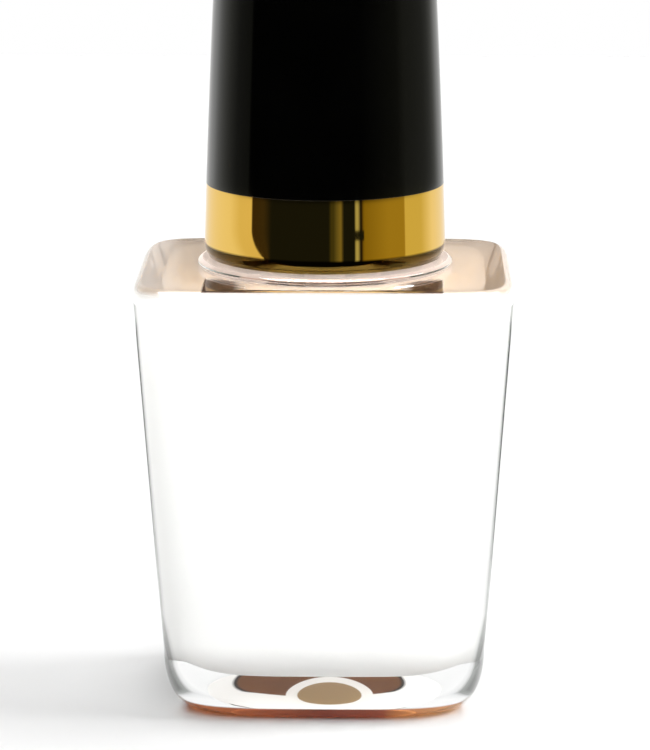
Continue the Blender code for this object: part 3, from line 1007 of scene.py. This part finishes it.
def make_collar():
    """Metallised sleeve, whose lowest part curls in towards the seat."""
    low, high = collar_low.z, collar_high.z + COLLAR_OVERLAP
    outer = collar_high.x
    corners = [
        (COLLAR_BORE, low, 0.05 * MM),
        (COLLAR_BORE, high, 0.03 * MM),
        (outer - COLLAR_TOP_INSET, high, 0.03 * MM),
    ]
    for step in range(CURL_STEPS + 1):
        share = step / CURL_STEPS
        straight = outer - COLLAR_TAPER * CURL_HEIGHT / (high - low) * (1 - share)
        corners.append((straight - CURL_DEPTH * share ** 2, low + CURL_HEIGHT * (1 - share), 0))
    collar = turned("collar_sleeve", corners)
    return place(collar, "cap", gold_material(), "gold_collar")


def make_stem():
    """Rod with a snap plug and a flange at its top and a socket for the tuft at its foot."""
    flange_low = FLANGE_Z - FLANGE_THICKNESS
    socket_top = tuft_high.z + SOCKET_SPARE
    corners = [
        (0.0, stem_high.z, 0),
        (PLUG_RADIUS, stem_high.z, 0.35 * MM),
        (PLUG_RADIUS, FLANGE_Z, 0.1 * MM),
        (FLANGE_RADIUS, FLANGE_Z, 0.15 * MM),
        (FLANGE_RADIUS, flange_low, 0.15 * MM),
        (STEM_ROOT_RADIUS, flange_low, 0.2 * MM),
        (STEM_HIGH_RADIUS, FLANGE_Z - STEM_ROOT_HEIGHT, 0.4 * MM),
        (STEM_LOW_RADIUS, stem_low.z, 0.12 * MM),
        (SOCKET_RADIUS, stem_low.z, 0.08 * MM),
        (SOCKET_RADIUS, socket_top, 0),
        (0.0, socket_top, 0),
    ]
    stem = turned("stem_rod", corners)
    plastic = grained_material(
        "stem_plastic", (0.80, 0.79, 0.77), (0.86, 0.86, 0.84), 200, (0.3, 0.4), 0.05
    )
    return place(stem, "brush", plastic, "brush_stem")


def rib_swell(angle, z):
    """Upright ribs on the inner cap's outside, faded out at both ends."""
    nearest = (round(angle / RIB_STEP - 0.5) + 0.5) * RIB_STEP
    offset = abs(angle - nearest) * INNER_RADIUS
    across = smooth_share((RIB_WIDTH / 2 + RIB_EASE - offset) / RIB_EASE)
    ends = min(smooth_share((z - RIB_LOW_Z) / RIB_EASE), smooth_share((RIB_HIGH_Z - z) / RIB_EASE))
    return RIB_HEIGHT * across * ends


def make_inner_cap():
    """Screw insert: ribs outside, the female thread inside, and a hole for the brush's plug."""
    low, high = inner_low.z, inner_high.z
    profile = [
        (INNER_RADIUS, low),
        (INNER_RADIUS, high),
        (PLUG_HOLE_RADIUS, high),
        (PLUG_HOLE_RADIUS, INNER_CEILING_Z),
        (INNER_BORE, INNER_CEILING_Z),
        (INNER_BORE, low),
    ]
    corners = [(round_size(radius), z, INNER_EDGE, INNER_EDGE) for radius, z in profile]
    swells = {INNER_RADIUS: rib_swell, INNER_BORE: thread_swell(-1, THREAD_Z + PITCH / 2)}
    rings = []
    for size, z in densify(rounded_path(corners), THREAD_RING_STEP):
        matching = [swell for radius, swell in swells.items() if abs(size[0] - radius) < SAME]
        rings.append(ring(size, z, *matching))
    rings.append(rings[0])
    insert = skin("thread_insert", rings)
    plastic = grained_material(
        "inner_cap_plastic", (0.72, 0.71, 0.69), (0.80, 0.79, 0.77), 150, (0.35, 0.5), 0.08
    )
    return place(insert, "cap", plastic, "inner_cap")


def make_gasket():
    """Foam washer, slightly barrelled by the pressure on it."""
    low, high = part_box("sealing_gasket")
    corners = [
        (GASKET_BORE, low.z, 0.12 * MM),
        (GASKET_BORE, high.z, 0.12 * MM),
        (high.x - GASKET_BULGE, high.z, 0.15 * MM),
        (high.x, (low.z + high.z) / 2, 0.2 * MM),
        (high.x - GASKET_BULGE, low.z, 0.15 * MM),
    ]
    washer = turned("foam_washer", corners)
    foam = grained_material("gasket_foam", (0.62, 0.61, 0.58), (0.84, 0.83, 0.80), 1500, (0.8, 0.95), 0.5)
    return place(washer, "seal", foam, "sealing_gasket")


def make_balls():
    """Mixing balls, eased so that they stay inside the liquid. Gives their steel for reuse."""
    steel = grained_material(
        "ball_steel", (0.55, 0.55, 0.56), (0.66, 0.66, 0.67), 400, (0.12, 0.22), 0.02, metallic=1.0
    )
    for number in (1, 2):
        node = f"mixing_ball_{number}"
        low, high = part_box(node)
        radius = (high.z - low.z) / 2 - BALL_EASE
        centre = (low + high) / 2 + Vector((0, 0, BALL_EASE))
        rings = [pole(centre.z - radius)]
        for step in range(1, BALL_RINGS):
            turn = math.pi * step / BALL_RINGS - math.pi / 2
            rings.append(ring(round_size(radius * math.cos(turn)), centre.z + radius * math.sin(turn)))
        rings.append(pole(centre.z + radius))
        for points in rings:
            for point in points:
                point.x += centre.x
                point.y += centre.y
        place(skin(f"steel_ball_{number}", rings, None), "bottle", steel, node)
    return steel


def make_staple(steel):
    """Flat anchor wire across the tuft's folded roots, with rounded edges."""
    low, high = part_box("bristle_staple")
    size = (high.x, high.y, STAPLE_SQUARENESS)
    face = inset(size, STAPLE_FACE_INSET)
    edge = STAPLE_EDGE
    corners = [(face, low.z, 0, 0), (size, low.z, edge, edge)]
    corners += [(size, high.z, edge, edge), (face, high.z, 0, 0)]
    path = rounded_path(corners)
    rings = [pole(low.z)] + [ring(section, z) for section, z in path] + [pole(high.z)]
    staple = skin("anchor_wire", rings)
    return place(staple, "brush", steel, "bristle_staple")


def filament_point(across, along, z):
    """Where a filament with root position (across, along) in the unit disc stands at a height."""
    top, spread, tip = tuft_high.z, TUFT_SPREAD_Z, tuft_low.z
    if z > spread:
        share = smooth_share((top - z) / (top - spread))
        half_width = TUFT_ROOT + (tuft_high.x - TUFT_ROOT) * share
        half_depth = TUFT_ROOT + (tuft_high.y - TUFT_ROOT) * share
    else:
        share = (spread - z) / (spread - tip)
        half_width = tuft_high.x * (1 - TIP_NARROWING[0] * share * share)
        half_depth = tuft_high.y * (1 - TIP_NARROWING[1] * share * share)
    reach = 1 - FILAMENT_RADIUS / half_depth
    return Vector((across * half_width * reach, along * half_depth * reach, z))


def filament_rows(index, chance):
    """Rings of points along one filament, from its root to its tip."""
    distance = math.sqrt((index + 0.5) / FILAMENTS)
    angle = index * GOLDEN_ANGLE
    across, along = distance * math.cos(angle), distance * math.sin(angle)
    dome = 1 - math.sqrt(max(0.0, 1 - across * across))
    end_z = tuft_low.z + TUFT_DOME * dome + TIP_STAGGER * chance.random() * distance
    lean_across = abs(chance.uniform(-FILAMENT_LEAN, FILAMENT_LEAN))
    lean_along = abs(chance.uniform(-FILAMENT_LEAN, FILAMENT_LEAN))
    rows = []
    for step in range(FILAMENT_STEPS + 1):
        share = step / FILAMENT_STEPS
        z = tuft_high.z + (end_z - tuft_high.z) * share
        bend = 1 - abs(2 * share - 1)
        centre = filament_point(across * (1 - lean_across * bend), along * (1 - lean_along * bend), z)
        radius = FILAMENT_RADIUS * (1 if share < 1 else FILAMENT_TIP_SHARE)
        turns = [TAU * side / FILAMENT_SIDES for side in range(FILAMENT_SIDES)]
        rows.append([centre + Vector((radius * math.cos(t), radius * math.sin(t), 0)) for t in turns])
    return rows


def make_tuft():
    """Nylon filaments from a round root, spread to a flat oval with a rounded, staggered tip."""
    chance = random.Random(FILAMENT_SEED)
    shape = bmesh.new()
    for index in range(FILAMENTS):
        rows = [[shape.verts.new(point) for point in row] for row in filament_rows(index, chance)]
        for high, low in zip(rows, rows[1:]):
            for side in range(FILAMENT_SIDES):
                after = (side + 1) % FILAMENT_SIDES
                shape.faces.new((high[side], low[side], low[after], high[after]))
        shape.faces.new(rows[0])
        shape.faces.new(rows[-1][::-1])
    tuft = smooth_object("filaments", shape, SHARP_ANGLE)
    return place(tuft, "brush", bristle_material(), "bristle_tuft")


# ---- stage

def stage_sheet(name, points, faces, material):
    """An open mesh of the studio, which isn't part of the object."""
    mesh = bpy.data.meshes.new(name)
    mesh.from_pydata(points, [], faces)
    mesh.materials.append(material)
    sheet = bpy.data.objects.new(name, mesh)
    bpy.context.scene.collection.objects.link(sheet)
    return sheet


def round_sheet(name, inner, outer, material):
    """A band between two circles (radius, z), seen by mirrors only."""
    points, faces = [], []
    for index in range(REFLECTOR_SIDES):
        angle = TAU * index / REFLECTOR_SIDES
        for radius, z in (inner, outer):
            points.append((radius * math.cos(angle), radius * math.sin(angle), z))
        low, after = 2 * index, 2 * ((index + 1) % REFLECTOR_SIDES)
        faces.append((low, low + 1, after + 1, after))
    show_in_reflections_only(stage_sheet(name, points, faces, material))


def show_in_reflections_only(obj):
    obj.visible_camera = False
    obj.visible_diffuse = False
    obj.visible_transmission = False
    obj.visible_shadow = False


def glowing_material(name):
    """A material that only glows, with its tree and its emission."""
    material = bpy.data.materials.new(name)
    material.use_nodes = True
    tree = material.node_tree
    tree.nodes.clear()
    glow = tree.nodes.new("ShaderNodeEmission")
    output = tree.nodes.new("ShaderNodeOutputMaterial")
    tree.links.new(glow.outputs["Emission"], output.inputs["Surface"])
    return material, tree, glow


def make_floor():
    """Pale paper under the bottle."""
    material, _, shader = new_material("floor_paper")
    shader.inputs["Base Color"].default_value = (FLOOR_GREY, FLOOR_GREY, FLOOR_GREY, 1)
    shader.inputs["Roughness"].default_value = 0.6
    shader.inputs["Specular IOR Level"].default_value = 0.2
    corners = [(-1, -1), (1, -1), (1, 1), (-1, 1)]
    points = [(FLOOR_HALF * x, FLOOR_HALF * y, 0) for x, y in corners]
    stage_sheet("floor", points, [(0, 1, 2, 3)], material)


def make_table_card():
    """The table top as mirrors see it: white beside the bottle, dark in front and right behind."""
    material, tree, glow = glowing_material("table_card")
    x, y, _ = object_axes(tree)
    front = rise(tree, y, TABLE_EDGE_Y - TABLE_EDGE_FADE, TABLE_EDGE_Y + TABLE_EDGE_FADE)
    angle = math_node(tree, "ARCTAN2", x, y)
    beside = rise(tree, math_node(tree, "ABSOLUTE", angle), *TABLE_BEHIND)
    level = math_node(tree, "MAXIMUM", product(tree, front, beside), TABLE_DARK)
    tree.links.new(level, glow.inputs["Strength"])
    inner = (TABLE_RADIUS, TABLE_CARD_Z)
    outer = (REFLECTOR_RADIUS, TABLE_CARD_Z)
    round_sheet("table_card", inner, outer, material)


def card_ramp(tree, angle_share, cards):
    """Ramp over the azimuth, from cards (azimuth in degrees from the front, colour)."""
    stops = [((azimuth + 180) / 360, colour) for azimuth, colour in cards]
    return ramp_colour(tree, angle_share, stops)


def flared_share(tree, share, above):
    """Azimuth share for the collar's cards, shifted near their foot on the left."""
    flare = math_node(tree, "POWER", rise(tree, above, *FLARE_HEIGHTS), 2.0)
    flare = product(tree, flare, fall(tree, share, *FLARE_SHARES))
    return math_node(tree, "MULTIPLY_ADD", flare, -FLARE / TAU, share)


def gap_mask(tree, share, above):
    """The gap in the collar's thin light card."""
    return product(
        tree,
        rise(tree, above, GAP_HEIGHTS[0], GAP_HEIGHTS[0] + GAP_HEIGHT_FADE),
        fall(tree, above, GAP_HEIGHTS[1], GAP_HEIGHTS[1] + GAP_HEIGHT_FADE),
        rise(tree, share, GAP_SHARES[0], GAP_SHARES[0] + GAP_SHARE_FADE),
        fall(tree, share, GAP_SHARES[1], GAP_SHARES[1] + GAP_SHARE_FADE),
    )


def make_reflector():
    """Ring of studio cards that only mirror reflections see: the collar reflects its lower
    part and the cap its upper part, and both show the dark of the room in front."""
    material, tree, glow = glowing_material("reflector_cards")
    x, y, z = object_axes(tree)
    angle = math_node(tree, "ARCTAN2", x, math_node(tree, "MULTIPLY", y, -1.0))
    share = math_node(tree, "MULTIPLY_ADD", angle, 1 / TAU, 0.5)
    half = math_node(tree, "COSINE", math_node(tree, "MULTIPLY", angle, 0.5))
    border = math_node(tree, "MULTIPLY_ADD", half, BORDER_RISE, BORDER_Z)
    above = math_node(tree, "SUBTRACT", z, border)
    low_cards = card_ramp(tree, flared_share(tree, share, above), COLLAR_CARDS)
    high_cards = card_ramp(tree, share, CAP_CARDS)
    behind = rise(tree, math_node(tree, "ABSOLUTE", angle), *PATCH_AZIMUTHS)
    patch = product(tree, behind, rise(tree, z, *PATCH_Z))
    colour = mix_colours(tree, gap_mask(tree, share, above), low_cards, BLACK)
    colour = mix_colours(tree, rise(tree, above, -BORDER_FADE, BORDER_FADE), colour, high_cards)
    colour = mix_colours(tree, patch, colour, BLACK)
    tree.links.new(colour, glow.inputs["Color"])
    low, high = REFLECTOR_Z
    round_sheet("reflector", (REFLECTOR_RADIUS, high), (REFLECTOR_RADIUS, low), material)


def direction(azimuth, elevation):
    """Unit vector for an azimuth from the front, to the right positive, and an elevation."""
    turn, tilt = math.radians(azimuth), math.radians(elevation)
    ahead = math.cos(tilt)
    return Vector((math.sin(turn) * ahead, -math.cos(turn) * ahead, math.sin(tilt)))


def aim(obj, back):
    """Links an object that looks along its own -Z, and turns it to look against a direction."""
    bpy.context.scene.collection.objects.link(obj)
    obj.rotation_euler = back.to_track_quat("Z", "Y").to_euler()


def add_area(name, azimuth, elevation, distance, size, power):
    """Rectangular lamp that looks at the bottle."""
    light = bpy.data.lights.new(name, "AREA")
    light.shape = "RECTANGLE"
    light.size, light.size_y = size
    light.energy = power
    lamp = bpy.data.objects.new(name, light)
    back = direction(azimuth, elevation)
    aim(lamp, back)
    lamp.location = Vector((0, 0, LAMP_TARGET_Z)) + back * distance
    return lamp


def add_sun(name, azimuth, elevation, strength, spread):
    light = bpy.data.lights.new(name, "SUN")
    light.energy = strength
    light.angle = spread
    lamp = bpy.data.objects.new(name, light)
    aim(lamp, direction(azimuth, elevation))
    return lamp


def make_world():
    """Studio: white behind and overhead, dim in front near the horizon. The camera sees it white,
    directly and through glass."""
    world = bpy.data.worlds.new("studio")
    bpy.context.scene.world = world
    world.use_nodes = True
    tree = world.node_tree
    background = tree.nodes["Background"]
    source = tree.nodes.new("ShaderNodeTexCoord")
    split = tree.nodes.new("ShaderNodeSeparateXYZ")
    tree.links.new(source.outputs["Generated"], split.inputs["Vector"])
    overhead = rise(tree, split.outputs["Z"], *WORLD_TOP_FROM)
    behind = rise(tree, split.outputs["Y"], *WORLD_BACK_FROM)
    level = math_node(tree, "MULTIPLY_ADD", behind, WORLD_BACK - WORLD_FRONT, WORLD_FRONT)
    change = math_node(tree, "SUBTRACT", WORLD_TOP, level)
    glow = math_node(tree, "MULTIPLY_ADD", overhead, change, level)
    path = tree.nodes.new("ShaderNodeLightPath")
    unscattered = math_node(tree, "LESS_THAN", path.outputs["Diffuse Depth"], 0.5)
    through = product(tree, path.outputs["Is Transmission Ray"], unscattered)
    direct = math_node(tree, "MAXIMUM", path.outputs["Is Camera Ray"], through)
    tree.links.new(math_node(tree, "MAXIMUM", glow, direct), background.inputs["Strength"])
    background.inputs["Color"].default_value = (1, 1, 1, 1)


def make_camera():
    camera = bpy.data.cameras.new("camera")
    camera.lens = LENS
    camera.clip_start, camera.clip_end = CAMERA_CLIP
    view = bpy.data.objects.new("camera", camera)
    back = direction(CAMERA_AZIMUTH, CAMERA_ELEVATION)
    aim(view, back)
    view.location = Vector((0, 0, CAMERA_TARGET_Z)) + back * CAMERA_DISTANCE
    bpy.context.scene.camera = view


def light_only(receivers, lamps):
    """Fills the liquid and the film through the glass: these lamps light nothing else, and
    only the floor holds them back."""
    lit = bpy.data.collections.new("lit_through_glass")
    for receiver in receivers:
        lit.objects.link(receiver)
    blockers = bpy.data.collections.new("holds_back")
    blockers.objects.link(bpy.data.objects["floor"])
    for lamp in lamps:
        lamp.light_linking.receiver_collection = lit
        lamp.light_linking.blocker_collection = blockers
        lamp.visible_glossy = False
        lamp.visible_transmission = False


def make_lamps():
    add_area("front_top", *FRONT_TOP)
    add_area("back_top", *BACK_TOP).visible_glossy = False
    show_in_reflections_only(add_area("rim", *RIM))
    add_sun("key", *KEY, KEY_SPREAD)


def main():
    make_camera()
    make_world()
    make_floor()
    make_reflector()
    make_table_card()
    make_lamps()
    make_glass()
    lit = [make_lacquer(), make_label()]
    light_only(lit, [add_sun(name, *sun, LACQUER_SPREAD) for name, sun in LACQUER_SUNS.items()])
    make_overcap()
    make_collar()
    make_inner_cap()
    make_gasket()
    make_stem()
    make_staple(make_balls())
    make_tuft()
    bpy.context.scene.view_settings.view_transform = "Standard"


main()
